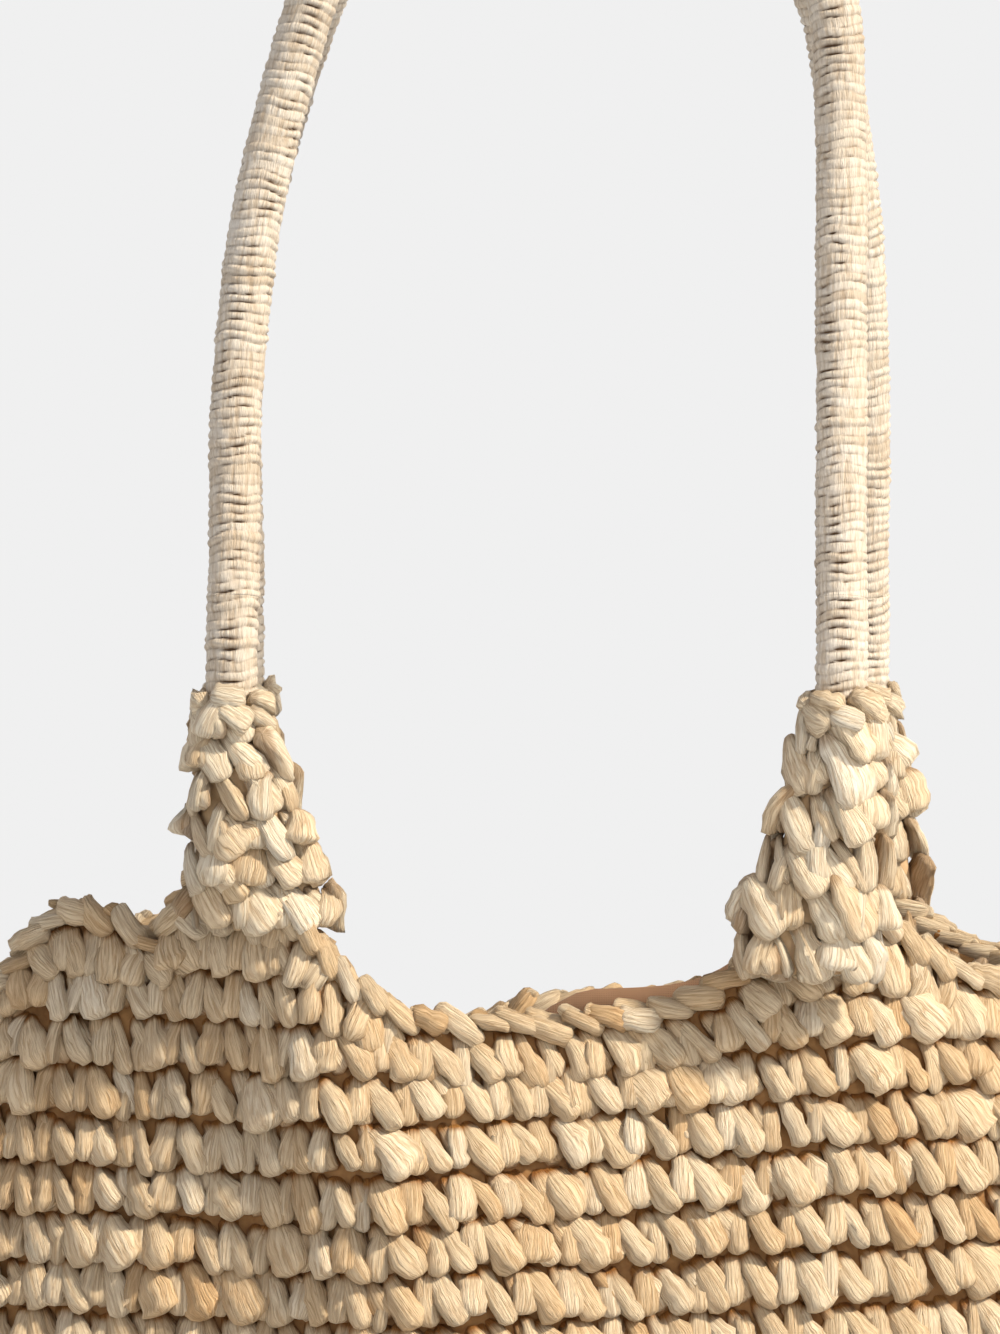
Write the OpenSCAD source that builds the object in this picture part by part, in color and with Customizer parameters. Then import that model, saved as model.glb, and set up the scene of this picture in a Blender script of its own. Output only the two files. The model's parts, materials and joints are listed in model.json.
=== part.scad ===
// Crocheted straw hobo bag with two wrapped rope handles.
// +X runs along the bag's width, +Y to its back and +Z up.
// The origin is the centre of the flat base, at the height that the bag stands on.

/* [Body] */
// Half the width of the flat base
base_half_w = 124; // [118:1:130]
// Half the depth of the flat base
base_half_d = 44; // [40:1:48]
// Half the width of the belly, at its widest
belly_half_w = 168; // [160:1:174]
// Half the depth of the belly, at its deepest
belly_half_d = 68; // [64:1:72]
// Half the width of the mouth
rim_half_w = 148; // [142:1:154]
// Half the depth of the mouth
rim_half_d = 52; // [48:1:54]
// Height of the mouth's edge at its lowest
mouth_h = 243; // [236:1:252]
// Thickness of the crocheted wall
wall_t = 6; // [5:0.5:6.5]

/* [Handles] */
// Height of the four horns' tops
horn_top_h = 325; // [318:1:334]
// Half the distance between the front handle's ends
front_root_x = 75; // [72:1:78]
// Half the distance between the back handle's ends
back_root_x = 82; // [80:1:86]
// Distance from the bag's middle to each handle's ends
root_y = 45; // [43:1:47]
// Radius of the wrapped handle
wrap_r = 6.5; // [6.5:0.1:6.8]
// Radius of the rope in the handle
rope_r = 4; // [3.6:0.1:4.4]
// Height of each handle's strands above its bends, up to the round top
strand_h = 142; // [125:1:150]
// How far each handle leans in towards the other, in degrees
lean = 9; // [8.5:0.25:9.5]

/* [Lining] */
// Thickness of the cotton lining
lining_t = 1.2; // [1:0.1:1.4]
// Thickness of the board in the bottom
board_t = 2; // [1.5:0.25:2.5]
// Radius of each half of the magnetic snap
snap_r = 9; // [8:0.5:10]

/* [Hidden] */

straw = [0.93, 0.84, 0.69];
cord_cream = [0.93, 0.87, 0.76];
rope_brown = [0.72, 0.6, 0.42];
cotton = [0.72, 0.6, 0.46];
board_grey = [0.45, 0.42, 0.38];
nickel = [0.75, 0.74, 0.7];

// The wall: sections of a squircle, from the base (t = 0) to the mouth's edge (t = 1).
corner = 2.4;         // exponent of the squircle
belly_t = 0.45;       // where the belly is widest
sides = 72;           // points round each section
levels = 12;          // sections up the wall
panel_t = 6;          // thickness of the base panel
panel_gap = 0.2;      // between the base panel and the wall
wall_foot = 0.6;      // the wall starts this far above the floor

// The mouth's edge rises from its lowest line into wings at the bag's sides.
wing_left = 24;
wing_right = 8;
wing_dip = 13;        // dip between the left wing and the horn beside it
side_rise = 7;
back_sag = 4.5;
back_slump = 8;       // further sag on the left of the back
front_dip = 2.2;      // dip in the middle of the front
flare = 18;           // how far the edge runs up into each horn
flare_span = 12;      // degrees round the mouth that a flare takes
rise_start = 0.3;     // the rows follow the rising edge from here up

// A soft crease runs down the front from the left horn.
crease_x = -33;
crease_swing = 19;    // how far the crease swings out towards the horn
swing_start = 0.72;
crease_out = 15;
crease_left = 24;     // span of the crease on its left
crease_right = 42;    // span of the crease on its right
flat_front = 11;      // the rest of the front is this much flatter, so the depth stays even

edging_r = 3.4;
edging_gap = 0.2;     // between the wall's edge and the edging
edging_sides = 8;
horn_gap_angle = 9;   // degrees of the mouth that each horn takes from the edging, each way

// Horns: tapered crocheted tubes round the handles' ends.
horn_foot_rx = 19;
horn_mid_rx = 16.5;
horn_top_r = 8;
horn_foot_ry = 8;
horn_sink = 11.5;     // the foot of a horn reaches this far down into the wall
horn_sides = 24;
horn_levels = 8;
front_horn_lean = 9;  // the foot of each front horn lies this much nearer the middle
back_horn_lean = 2;
binding_h = 5;
binding_r = 9.4;
root_wrap_in = 12;    // length of wrapping inside a horn
tail_in = 44;         // length of rope inside a horn

// Each handle bends at its root in two steps, a bend length apart.
pivot_h = horn_top_h + 8;
end_gap = 7;          // flat end of one piece to the centre of the next piece's ball
bend_l = 30;
rope_end = 1.6;       // the rope stops short of the ball's surface
left_straight = 23;   // straight length of the left strand, before its arc
left_arc_front = 370;
left_arc_back = 300;
right_arc_front = 1600;
right_arc_back = 520;
right_turn_front = 1.5;  // degrees that the right strand's arc turns
right_turn_back = 10.5;
seam = 0.02;          // hair's gap between a handle's straight strands, arcs and round top

lining_gap = 1.8;
lining_drop = 13;     // top of the lining below the mouth's edge
lining_floor = panel_t + 0.3 + board_t + 0.3;
pocket_gap = 0.3;
pocket_t = 1;
pocket_low = 0.42;
pocket_high = 0.8;
pocket_span = 34;     // degrees of the section, each way from the back's middle
snap_socket_t = 3;
snap_stud_t = 4;
snap_drop = 30;       // centre of the snap below the mouth's edge
washer_r = 7;
washer_t = 1;
contact = 0.1;

function smooth(v) = let (c = min(1, max(0, v))) c * c * (3 - 2 * c);
function plateau(a, low, high, soft) = smooth((a - low) / soft) * smooth((high - a) / soft);
function hump(a, centre, span) = exp(-pow((a - centre) / span, 2));
function signed_pow(v, p) = sign(v) * pow(abs(v), p);

// Angles run from +X (0) by the back (90) and the left (180) to the front (270).
function horn_angle(x, half_w) = acos(pow(x / half_w, corner / 2));
front_angle = horn_angle(front_root_x, rim_half_w);
back_angle = horn_angle(back_root_x, rim_half_w);
horn_angles = [back_angle, 180 - back_angle, 180 + front_angle, 360 - front_angle];

function horn_angle_at(side, hand) =
    side > 0 ? horn_angles[hand > 0 ? 0 : 1] : horn_angles[hand > 0 ? 3 : 2];

function swell(t, low, mid, high) = t < belly_t
    ? low + (mid - low) * sin(90 * t / belly_t)
    : mid - (mid - high) * (1 - cos(90 * (t - belly_t) / (1 - belly_t)));

function edge_rise(a) =
    wing_left * (plateau(a, 194, 262, 26) + 0.5 * plateau(a, 98, 160, 26))
    - wing_dip * hump(a, 233, 6)
    + wing_right * (plateau(a, 278, 354, 26) + plateau(a, 6, 82, 26))
    + side_rise * (plateau(a, 150, 210, 30) + 0.6 * hump(a, 0, 20) + 0.6 * hump(a, 360, 20))
    + flare * (hump(a, horn_angles[0], flare_span) + hump(a, horn_angles[1], flare_span)
        + hump(a, horn_angles[2], flare_span) + hump(a, horn_angles[3], flare_span))
    - back_sag * plateau(a, 62, 135, 14)
    - back_slump * plateau(a, 88, 135, 10)
    - front_dip * hump(a, 268, 14);

function crease(x, t) =
    let (
        cx = crease_x - crease_swing * smooth((t - swing_start) / (1 - swing_start)),
        span = x < cx ? crease_left : crease_right
    )
    smooth(t / 0.4) * (crease_out * hump(x, cx, span) - flat_front);

// A point of the wall at angle a and level t, inset from its outer face.
function wall_point(a, t, inset = 0) =
    let (
        x = (swell(t, base_half_w, belly_half_w, rim_half_w) - inset)
            * signed_pow(cos(a), 2 / corner),
        y = (swell(t, base_half_d, belly_half_d, rim_half_d) - inset)
            * signed_pow(sin(a), 2 / corner),
        front = smooth(-sin(a) * 1.6),
        rise = edge_rise(a) * smooth((t - rise_start) / (1 - rise_start)),
        z = wall_foot + t * (mouth_h - wall_foot) + rise
    )
    [x, y - front * crease(x, t), z];

function rim_z(a) = wall_point(a, 1)[2];

// Level of the wall at a given height at angle a.
function level_at(a, z, low = 0, high = 1, steps = 16) = steps == 0
    ? (low + high) / 2
    : let (mid = (low + high) / 2)
        wall_point(a, mid)[2] < z
            ? level_at(a, z, mid, high, steps - 1)
            : level_at(a, z, low, mid, steps - 1);

function ring_quads(lower, upper, count) = [
    for (i = [0 : count - 1]) let (j = (i + 1) % count)
        each [[lower + i, lower + j, upper + j], [lower + i, upper + j, upper + i]]
];

// A solid through rings of points, each ring of the same count, closed at both ends by flat caps.
module loft(rings) {
    count = len(rings[0]);
    last = (len(rings) - 1) * count;
    polyhedron(
        points = [for (ring = rings) each ring],
        faces = [
            [for (i = [0 : count - 1]) i],
            for (k = [0 : len(rings) - 2]) each ring_quads((k + 1) * count, k * count, count),
            [for (i = [count - 1 : -1 : 0]) last + i]
        ]
    );
}

// A tube whose section rings close on each other, such as a wall with an outer and an inner face.
module closed_loft(rings) {
    count = len(rings[0]);
    total = len(rings);
    polyhedron(
        points = [for (ring = rings) each ring],
        faces = [
            for (k = [0 : total - 1])
                each ring_quads(((k + 1) % total) * count, k * count, count)
        ]
    );
}

function section(t, inset) = [
    for (i = [0 : sides - 1]) wall_point(360 * i / sides, t, inset)
];

module body_wall() {
    color(straw)
        closed_loft([
            for (k = [0 : levels]) section(k / levels, 0),
            for (k = [levels : -1 : 0]) section(k / levels, wall_t)
        ]);
}

module base_panel() {
    half_w = base_half_w - wall_t - panel_gap;
    half_d = base_half_d - wall_t - panel_gap;
    color(straw)
        linear_extrude(panel_t)
            polygon([
                for (i = [0 : sides - 1]) let (a = 360 * i / sides)
                    [half_w * signed_pow(cos(a), 2 / corner), half_d * signed_pow(sin(a), 2 / corner)]
            ]);
}

// One run of edging along the mouth. It bends at the same angles as the wall's edge.
module edging_run(from, to) {
    step = 360 / sides;
    color(straw)
        loft([
            for (k = [ceil(from / step) : floor(to / step)]) let (
                a = k * step % 360,
                mid = wall_point(a, 1, wall_t / 2),
                before = wall_point(a - 0.5, 1, wall_t / 2),
                after = wall_point(a + 0.5, 1, wall_t / 2),
                along = (after - before) / norm(after - before),
                out = [along[1], -along[0], 0] / norm([along[1], -along[0], 0]),
                up = cross(out, along)
            ) [
                for (i = [0 : edging_sides - 1]) let (b = 360 * i / edging_sides + 22.5)
                    mid + up * (edging_r + edging_gap + edging_r * sin(b)) + out * edging_r * cos(b)
            ]
        ]);
}

module rim_edging() {
    gap = horn_gap_angle;
    edging_run(horn_angles[0] + gap, horn_angles[1] - gap);
    edging_run(horn_angles[1] + gap, horn_angles[2] - gap);
    edging_run(horn_angles[2] + gap, horn_angles[3] - gap);
    edging_run(horn_angles[3] + gap, horn_angles[0] + 360 - gap);
}

// Side is -1 for the front handle and 1 for the back one; hand is -1 on the left, 1 on the right.
function root_x(side) = side < 0 ? front_root_x : back_root_x;
module horn(side, hand) {
    x = hand * root_x(side);
    lean_in = side < 0 ? front_horn_lean : back_horn_lean;
    foot_z = rim_z(horn_angle_at(side, hand)) - horn_sink;
    top_z = horn_top_h - binding_h;
    height = top_z - foot_z;
    color(straw)
        difference() {
            loft([
                for (k = [0 : horn_levels]) let (
                    f = k / horn_levels,
                    taper = sin(90 * (1 - f)),
                    rx = horn_top_r + (horn_mid_rx - horn_top_r) * taper
                        + (horn_foot_rx - horn_mid_rx) * pow(1 - f, 4),
                    ry = horn_top_r + 1.6 * sin(180 * f) + (horn_foot_ry - horn_top_r) * (1 - f),
                    cx = x - hand * lean_in * pow(1 - f, 1.5),
                    cy = side * root_y
                ) [
                    for (i = [0 : horn_sides - 1]) let (a = 360 * i / horn_sides)
                        [cx + rx * cos(a), cy + ry * sin(a), foot_z + f * height]
                ]
            ]);
            translate([x, side * root_y, horn_top_h - tail_in])
                cylinder(r = rope_r, h = tail_in, $fn = 32);
            translate([x, side * root_y, horn_top_h - root_wrap_in])
                cylinder(r = wrap_r, h = root_wrap_in, $fn = 48);
        }
}

module binding(side, hand) {
    round_r = binding_h / 2;
    color(cord_cream)
        translate([hand * root_x(side), side * root_y, horn_top_h - binding_h])
            rotate_extrude($fn = 48) {
                translate([wrap_r, 0])
                    square([binding_r - wrap_r - round_r, binding_h]);
                translate([binding_r - round_r, round_r])
                    intersection() {
                        circle(r = round_r, $fn = 32);
                        translate([0, -round_r])
                            square([round_r, binding_h]);
                    }
            }
}

module root_wrap(side) {
    color(cord_cream)
        for (hand = [-1, 1])
            translate([hand * root_x(side), side * root_y, horn_top_h - root_wrap_in])
                difference() {
                    cylinder(r = wrap_r, h = pivot_h - end_gap - horn_top_h + root_wrap_in, $fn = 48);
                    translate([0, 0, -1])
                        cylinder(r = rope_r, h = bend_l + root_wrap_in, $fn = 32);
                }
}

module rope_tails(side) {
    color(rope_brown)
        for (hand = [-1, 1])
            translate([hand * root_x(side), side * root_y, horn_top_h - tail_in])
                cylinder(r = rope_r, h = pivot_h - end_gap - horn_top_h + tail_in, $fn = 32);
}

// Places its children in a handle's own plane: X across, Z up the handle from its lower bend.
module handle_frame(side) {
    translate([0, side * root_y, pivot_h])
        rotate([side * lean, 0, 0])
            children();
}

// A solid strand from a ball at its lower end.
module balled_strand(r, length) {
    sphere(r = r, $fn = 48);
    cylinder(r = r, h = length, $fn = 48);
}

module bend_wrap(side) {
    color(cord_cream)
        handle_frame(side)
            for (hand = [-1, 1])
                translate([hand * root_x(side), 0, 0])
                    difference() {
                        balled_strand(wrap_r, bend_l - end_gap);
                        translate([0, 0, -rope_end])
                            cylinder(r = rope_r, h = bend_l, $fn = 32);
                    }
}

module bend_rope(side) {
    color(rope_brown)
        handle_frame(side)
            for (hand = [-1, 1])
                translate([hand * root_x(side), 0, -rope_end])
                    cylinder(r = rope_r, h = bend_l - end_gap + rope_end, $fn = 32);
}

// A stretch of a rod bent round a circle in the handle's plane.
module bent_tube(r, bend_r, from, sweep) {
    rotate([90, 0, 0])
        rotate([0, 0, from])
            rotate_extrude(angle = sweep, $fn = 96)
                translate([bend_r, 0])
                    circle(r = r, $fn = 48);
}

// The handle above its bends: on each side a straight strand and an arc, and a round top.
module handle_line(side, r) {
    half = root_x(side);
    left_r = side < 0 ? left_arc_front : left_arc_back;
    right_r = side < 0 ? right_arc_front : right_arc_back;
    left_turn = asin((strand_h - left_straight) / left_r);
    right_turn = side < 0 ? right_turn_front : right_turn_back;
    left_drift = left_r * (1 - cos(left_turn));
    right_drift = right_r * (1 - cos(right_turn));
    top_r = (2 * half - left_drift - right_drift) / (cos(left_turn) + cos(right_turn));
    top_z = strand_h - top_r * sin(left_turn);
    right_straight = top_z + (top_r - right_r) * sin(right_turn);
    seam_turn = asin(seam / top_r);
    translate([0, 0, bend_l]) {
        translate([-half, 0, 0])
            cylinder(r = r, h = left_straight - seam, $fn = 48);
        translate([left_r - half, 0, left_straight])
            bent_tube(r, left_r, 180 - left_turn, left_turn);
        translate([left_drift - half + top_r * cos(left_turn), 0, top_z])
            bent_tube(r, top_r, right_turn + seam_turn, 180 - left_turn - right_turn - 2 * seam_turn);
        translate([half - right_r, 0, right_straight])
            bent_tube(r, right_r, 0, right_turn);
        translate([half, 0, 0])
            cylinder(r = r, h = right_straight - seam, $fn = 48);
    }
}

module handle_wrap(side) {
    color(cord_cream)
        handle_frame(side) {
            difference() {
                handle_line(side, wrap_r);
                handle_line(side, rope_r);
            }
            for (hand = [-1, 1])
                translate([hand * root_x(side), 0, bend_l])
                    difference() {
                        sphere(r = wrap_r, $fn = 48);
                        translate([-wrap_r, -wrap_r, 0])
                            cube(2 * wrap_r);
                    }
        }
}

module handle_rope(side) {
    color(rope_brown)
        handle_frame(side)
            handle_line(side, rope_r);
}

// The lining is a cup that follows the wall's inner face.
function lining_ring(k, inset) = [
    for (i = [0 : sides - 1]) let (
        a = 360 * i / sides,
        low_t = level_at(a, lining_floor),
        high_t = level_at(a, rim_z(a) - lining_drop)
    ) wall_point(a, low_t + (high_t - low_t) * k / levels, inset)
];

function flat_at(ring, z) = [for (p = ring) [p[0], p[1], z]];

module lining() {
    outer = wall_t + lining_gap;
    inner = outer + lining_t;
    color(cotton)
        loft([
            for (k = [0 : levels])
                k == 0 ? flat_at(lining_ring(0, outer), lining_floor) : lining_ring(k, outer),
            for (k = [levels : -1 : 0])
                k == 0 ? flat_at(lining_ring(0, inner), lining_floor + lining_t) : lining_ring(k, inner)
        ]);
}

module lining_pocket() {
    near = wall_t + lining_gap + lining_t + pocket_gap;
    far = near + pocket_t;
    steps = 12;
    rows = 6;
    count = 2 * (rows + 1);
    last = steps * count;
    points = [
        for (k = [0 : steps], face = [0, 1], j = [0 : rows]) let (
            a = 90 + pocket_span - 2 * pocket_span * k / steps,
            up = face == 0 ? j : rows - j
        ) wall_point(a, pocket_low + (pocket_high - pocket_low) * up / rows, face == 0 ? near : far)
    ];
    color(cotton)
        polyhedron(
            points = points,
            faces = [
                for (k = [0 : steps - 1]) each ring_quads((k + 1) * count, k * count, count),
                for (j = [0 : rows - 1]) each [
                    [j, j + 1, count - 2 - j],
                    [j, count - 2 - j, count - 1 - j],
                    [last + j, last + count - 2 - j, last + j + 1],
                    [last + j, last + count - 1 - j, last + count - 2 - j]
                ]
            ]
        );
}

module base_board() {
    half_w = base_half_w - 20;
    half_d = base_half_d - 15;
    round_r = 20;
    color(board_grey)
        translate([0, 0, panel_t + contact])
            linear_extrude(board_t)
                union() {
                    square([2 * (half_w - round_r), 2 * half_d], center = true);
                    square([2 * half_w, 2 * (half_d - round_r)], center = true);
                    for (sx = [-1, 1], sy = [-1, 1])
                        translate([sx * (half_w - round_r), sy * (half_d - round_r)])
                            circle(r = round_r, $fn = 48);
                }
}

// A disc that lies against the wall near the mouth's middle, with its near face at an inset.
module disc_on_wall(side, inset, r, t) {
    a = side < 0 ? 270 : 90;
    level = level_at(a, rim_z(a) - snap_drop);
    here = wall_point(a, level, inset);
    across = wall_point(a + 2, level, inset) - wall_point(a - 2, level, inset);
    upward = wall_point(a, level + 0.02, inset) - wall_point(a, level - 0.02, inset);
    inward = cross(upward, across);
    translate(here)
        rotate([0, acos(inward[2] / norm(inward)), atan2(inward[1], inward[0])])
            cylinder(r = r, h = t, $fn = 48);
}

module snap_half(side, t, nose_r, nose_h) {
    face = wall_t + lining_gap + lining_t + 0.2;
    color(nickel) {
        disc_on_wall(side, face, snap_r, t);
        disc_on_wall(side, face + t, nose_r, nose_h);
    }
}

module snap_washer(side) {
    color(nickel)
        disc_on_wall(side, wall_t + 0.3, washer_r, washer_t);
}

base_panel();
body_wall();
rim_edging();
horn(-1, -1);  // horn_front_left
horn(-1, 1);  // horn_front_right
horn(1, -1);  // horn_back_left
horn(1, 1);  // horn_back_right
binding(-1, -1);  // binding_front_left
binding(-1, 1);  // binding_front_right
binding(1, -1);  // binding_back_left
binding(1, 1);  // binding_back_right
root_wrap(-1);  // root_wrap_front
root_wrap(1);  // root_wrap_back
rope_tails(-1);  // rope_tails_front
rope_tails(1);  // rope_tails_back
bend_wrap(-1);  // bend_wrap_front
bend_wrap(1);  // bend_wrap_back
bend_rope(-1);  // bend_rope_front
bend_rope(1);  // bend_rope_back
handle_wrap(-1);  // handle_wrap_front
handle_wrap(1);  // handle_wrap_back
handle_rope(-1);  // handle_rope_front
handle_rope(1);  // handle_rope_back
lining();
lining_pocket();
base_board();
snap_half(-1, snap_socket_t, 5, 0.8);  // snap_socket
snap_half(1, snap_stud_t, 3.5, 1.5);  // snap_stud
snap_washer(-1);  // snap_washer_front
snap_washer(1);  // snap_washer_back
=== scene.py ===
import json
import math

import bpy
import numpy as np
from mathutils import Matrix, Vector


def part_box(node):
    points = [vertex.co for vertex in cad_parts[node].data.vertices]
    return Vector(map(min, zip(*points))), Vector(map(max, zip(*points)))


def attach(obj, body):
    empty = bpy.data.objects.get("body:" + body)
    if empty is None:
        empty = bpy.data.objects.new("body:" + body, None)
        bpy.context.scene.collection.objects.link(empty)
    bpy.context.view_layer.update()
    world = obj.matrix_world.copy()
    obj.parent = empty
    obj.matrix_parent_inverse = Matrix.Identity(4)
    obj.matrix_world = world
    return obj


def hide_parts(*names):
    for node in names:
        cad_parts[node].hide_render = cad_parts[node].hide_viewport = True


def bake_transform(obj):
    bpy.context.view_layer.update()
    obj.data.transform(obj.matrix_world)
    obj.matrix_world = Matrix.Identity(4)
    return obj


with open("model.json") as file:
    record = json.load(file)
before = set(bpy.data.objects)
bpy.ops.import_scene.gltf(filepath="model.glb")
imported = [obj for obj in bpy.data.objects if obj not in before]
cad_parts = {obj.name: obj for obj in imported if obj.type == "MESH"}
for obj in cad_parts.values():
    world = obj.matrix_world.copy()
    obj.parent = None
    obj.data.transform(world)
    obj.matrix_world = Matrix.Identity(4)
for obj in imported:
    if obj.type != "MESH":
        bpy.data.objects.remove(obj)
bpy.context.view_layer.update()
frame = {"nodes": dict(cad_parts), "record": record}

# The straw bag's look: crocheted rounds, horns, edging, wound handles and lining, built round the
# CAD's own shape. The bag stands on z = 0, with its front towards -Y and its length along X.

# ---------------------------------------------------------------- sizes, in metres
MM = 0.001
rng = np.random.default_rng(7)

# The body, with the same values as in part.scad.
BASE_HALF_W = 124 * MM
BASE_HALF_D = 44 * MM
BELLY_HALF_W = 168 * MM
BELLY_HALF_D = 68 * MM
BELLY_T = 0.45           # level of the belly, from 0 at the base to 1 at the mouth
RIM_HALF_W = 148 * MM
RIM_HALF_D = 52 * MM
CORNER = 2.4             # exponent of the squircle
MOUTH_H = 243 * MM
WALL_FOOT = 0.6 * MM     # the wall starts this far above the ground

# The mouth's edge.
WING_LEFT = 24 * MM
WING_RIGHT = 8 * MM
WING_DIP = 13 * MM
SIDE_RISE = 7 * MM
BACK_SAG = 4.5 * MM
BACK_SLUMP = 8 * MM
FRONT_DIP = 2.2 * MM
FLARE = 18 * MM          # how far the edge runs up into each horn
FLARE_SPAN = 12          # degrees
RISE_START = 0.3         # level from which the wall follows its edge up and down

# The crease down the front from the left horn.
CREASE_X = -33 * MM
CREASE_SWING = 19 * MM   # how far it swings to the left near the mouth
SWING_START = 0.72       # level from which it swings
CREASE_OUT = 15 * MM
CREASE_LEFT = 24 * MM
CREASE_RIGHT = 42 * MM
FLAT_FRONT = 11 * MM     # how far the front is pushed in beside the crease

# The horns and handles.
SIDE = {"front": -1, "back": 1}
HAND = {"left": -1, "right": 1}
HORN_TOP = 325 * MM
ROOT_X = {"front": 75 * MM, "back": 82 * MM}
ROOT_Y = 45 * MM
PIVOT_Z = HORN_TOP + 8 * MM
BEND = 30 * MM           # between a handle's two hinges
LEAN = math.radians(9)
WRAP_R = 6.5 * MM
STRAND_H = 142 * MM
LEFT_STRAIGHT = 23 * MM
LEFT_ARC = {"front": 370 * MM, "back": 300 * MM}
RIGHT_ARC = {"front": 1600 * MM, "back": 520 * MM}
RIGHT_TURN = {"front": math.radians(1.5), "back": math.radians(10.5)}

# The crochet.
ROW = 12.1 * MM          # height of a round
STITCH = 11 * MM         # width of a stitch
STRAW_IN = 4.2 * MM      # the stitches' feet lie this far inside the wall's outer face
PLEAT = 0.27             # depth of the pleats along a strand, as a share of its radius


def smooth(v):
    """0 below 0, 1 above 1, and a soft step between."""
    c = np.clip(v, 0, 1)
    return c * c * (3 - 2 * c)


def plateau(a, low, high, soft):
    """1 from low to high, with a soft step at both ends."""
    return smooth((a - low) / soft) * smooth((high - a) / soft)


def hump(a, centre, span):
    """A bell shape of height 1."""
    return np.exp(-((a - centre) / span) ** 2)


def signed_pow(v, p):
    return np.sign(v) * np.abs(v) ** p


def horn_angle(x):
    """The angle at which the mouth's edge is this far from the middle."""
    return math.degrees(math.acos((x / RIM_HALF_W) ** (CORNER / 2)))


# Angles run from +X (0) by the back (90) and the left (180) to the front (270).
FRONT_ANGLE = horn_angle(ROOT_X["front"])
BACK_ANGLE = horn_angle(ROOT_X["back"])
HORN_ANGLES = {
    ("back", "right"): BACK_ANGLE,
    ("back", "left"): 180 - BACK_ANGLE,
    ("front", "left"): 180 + FRONT_ANGLE,
    ("front", "right"): 360 - FRONT_ANGLE,
}


def swell(t, low, mid, high):
    """Half a width that grows from the base to the belly and shrinks again to the mouth."""
    rising = low + (mid - low) * np.sin(np.pi / 2 * t / BELLY_T)
    falling = mid - (mid - high) * (1 - np.cos(np.pi / 2 * (t - BELLY_T) / (1 - BELLY_T)))
    return np.where(t < BELLY_T, rising, falling)


def edge_rise(a):
    """How far the mouth's edge stands above MOUTH_H at angle a."""
    a = np.mod(a, 360)
    left = plateau(a, 194, 262, 26) + 0.5 * plateau(a, 98, 160, 26)
    right = plateau(a, 278, 354, 26) + plateau(a, 6, 82, 26)
    sides = plateau(a, 150, 210, 30) + 0.6 * hump(a, 0, 20) + 0.6 * hump(a, 360, 20)
    flares = sum(hump(a, centre, FLARE_SPAN) for centre in HORN_ANGLES.values())
    sag = (BACK_SAG * plateau(a, 62, 135, 14) + BACK_SLUMP * plateau(a, 88, 135, 10)
           + FRONT_DIP * hump(a, 268, 14))
    return (WING_LEFT * left - WING_DIP * hump(a, 233, 6) + WING_RIGHT * right
            + SIDE_RISE * sides + FLARE * flares - sag)


def crease(x, t):
    """How far the front stands out at x, along the crease's ridge and beside it."""
    centre = CREASE_X - CREASE_SWING * smooth((t - SWING_START) / (1 - SWING_START))
    span = np.where(x < centre, CREASE_LEFT, CREASE_RIGHT)
    return smooth(t / 0.4) * (CREASE_OUT * hump(x, centre, span) - FLAT_FRONT)


def wall(a, t, inset=0.0):
    """Points of the bag's wall at angle a (degrees) and level t (0 at the base, 1 at the mouth)."""
    a, t, inset = np.broadcast_arrays(np.asarray(a, float), np.asarray(t, float), inset)
    rad = np.radians(a)
    x = (swell(t, BASE_HALF_W, BELLY_HALF_W, RIM_HALF_W) - inset) * signed_pow(np.cos(rad), 2 / CORNER)
    y = (swell(t, BASE_HALF_D, BELLY_HALF_D, RIM_HALF_D) - inset) * signed_pow(np.sin(rad), 2 / CORNER)
    front = smooth(-np.sin(rad) * 1.6)
    z = WALL_FOOT + t * (MOUTH_H - WALL_FOOT) + edge_rise(a) * smooth((t - RISE_START) / (1 - RISE_START))
    return np.stack([x, y - front * crease(x, t), z], -1)


def unit(v):
    return v / np.maximum(np.linalg.norm(v, axis=-1, keepdims=True), 1e-12)


def surface_frames(surface, a, t):
    """Where (a, t) is on a surface, and which way right, up and out are there, seen from outside."""
    here = surface(a, t)
    right = unit(surface(a + 0.2, t) - surface(a - 0.2, t))
    up = surface(a, t + 0.01) - surface(a, t - 0.01)
    out = unit(np.cross(right, up))
    return here, right, unit(np.cross(out, right)), out


def even_angles(surface, t, pitch, start=0.0, span=360.0):
    """Angles that share out a round of a surface at level t in steps of about pitch."""
    a = np.linspace(start, start + span, 721)
    length = np.linalg.norm(np.diff(surface(a, np.full_like(a, t)), axis=0), axis=1)
    travelled = np.concatenate([[0], np.cumsum(length)])
    count = max(4, round(travelled[-1] / pitch))
    return np.interp(np.arange(count) * travelled[-1] / count, travelled, a), travelled[-1] / count


# ---------------------------------------------------------------- mesh building
def add_mesh(name, points, faces, material, attributes=None):
    """A smooth-shaded object of these points and quads. attributes are name: values at the points."""
    mesh = bpy.data.meshes.new(name)
    points = np.asarray(points, np.float32).reshape(-1, 3)
    faces = np.asarray(faces, np.int32)
    corners = faces.shape[1]
    mesh.vertices.add(len(points))
    mesh.vertices.foreach_set("co", points.ravel())
    mesh.loops.add(faces.size)
    mesh.loops.foreach_set("vertex_index", faces.ravel())
    mesh.polygons.add(len(faces))
    mesh.polygons.foreach_set("loop_start", np.arange(0, faces.size, corners, dtype=np.int32))
    mesh.polygons.foreach_set("use_smooth", np.ones(len(faces), bool))
    for key, values in (attributes or {}).items():
        layer = mesh.attributes.new(key, "FLOAT_VECTOR", "POINT")
        layer.data.foreach_set("vector", np.asarray(values, np.float32).reshape(-1, 3).ravel())
    mesh.update(calc_edges=True)
    mesh.validate()
    mesh.materials.append(material)
    obj = bpy.data.objects.new(name, mesh)
    bpy.context.collection.objects.link(obj)
    return obj


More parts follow.
